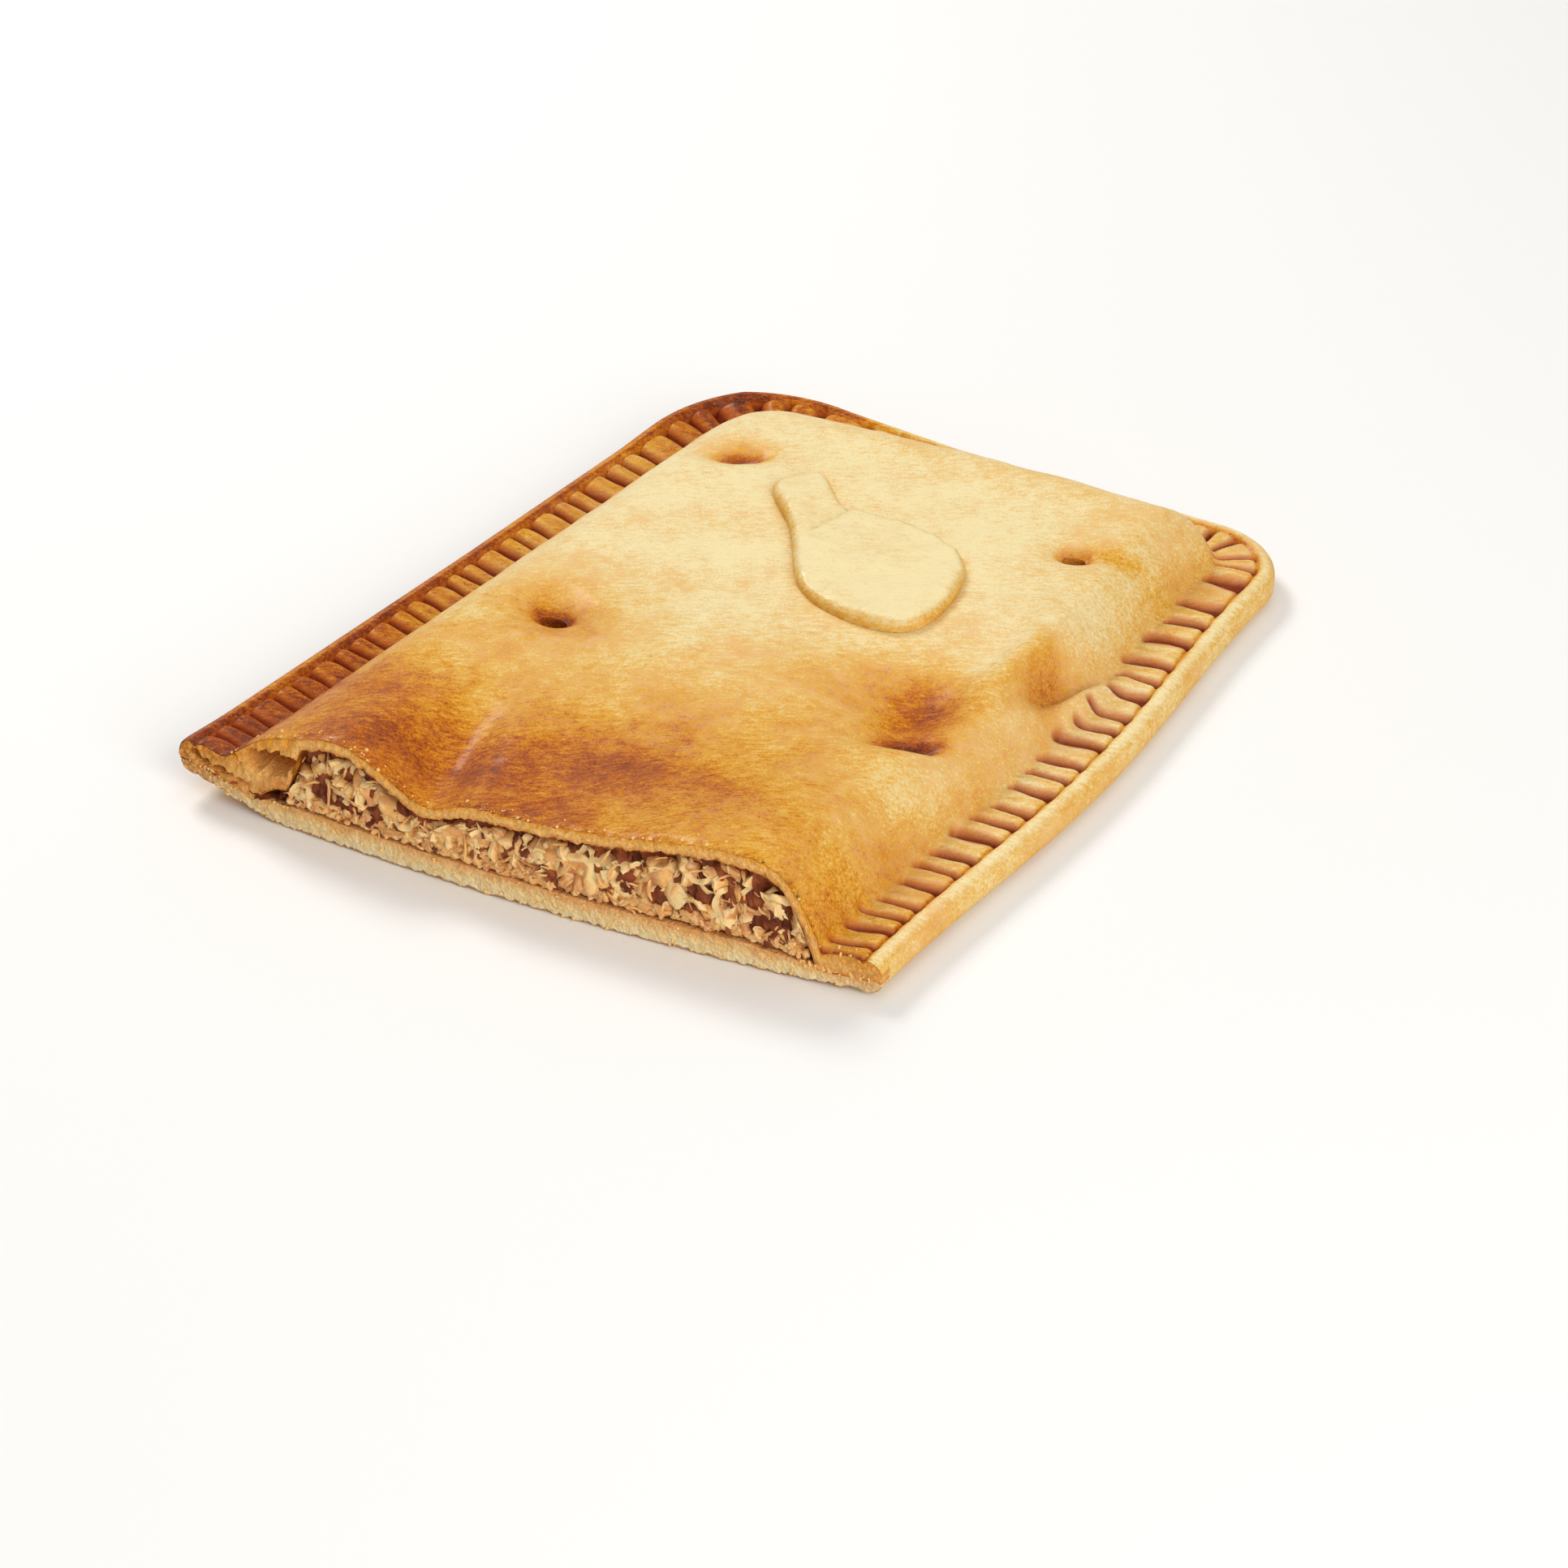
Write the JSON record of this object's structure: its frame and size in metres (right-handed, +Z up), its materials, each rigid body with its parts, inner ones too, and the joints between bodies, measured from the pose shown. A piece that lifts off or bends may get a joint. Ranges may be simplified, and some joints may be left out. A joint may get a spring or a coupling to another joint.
{
  "type": "tuna pie",
  "caption": "Flat rectangular tuna pie with a crimped rim and steam vents, one end cut off to show its flaky filling, and a flat dough fish on top.",
  "frame": {"origin": "middle of the footprint, on the surface that the pie rests on", "axes": "+Z up out of the lid, +Y along the pie's length from the cut end to the far end, +X to the right across its width seen from the cut end"},
  "size_m": [0.1664, 0.2002, 0.0261],
  "materials": {
    "base_crust": "matt, crumbly baked dough",
    "tuna_filling": "moist flaked fish",
    "lid_crust": "satin egg-washed crust",
    "pale_dough": "satin pale baked dough"
  },
  "bodies": {
    "root": {"base": "base_crust", "filling": "tuna_filling", "lid": "lid_crust", "dough_fish": "pale_dough"}
  },
  "joints": []
}
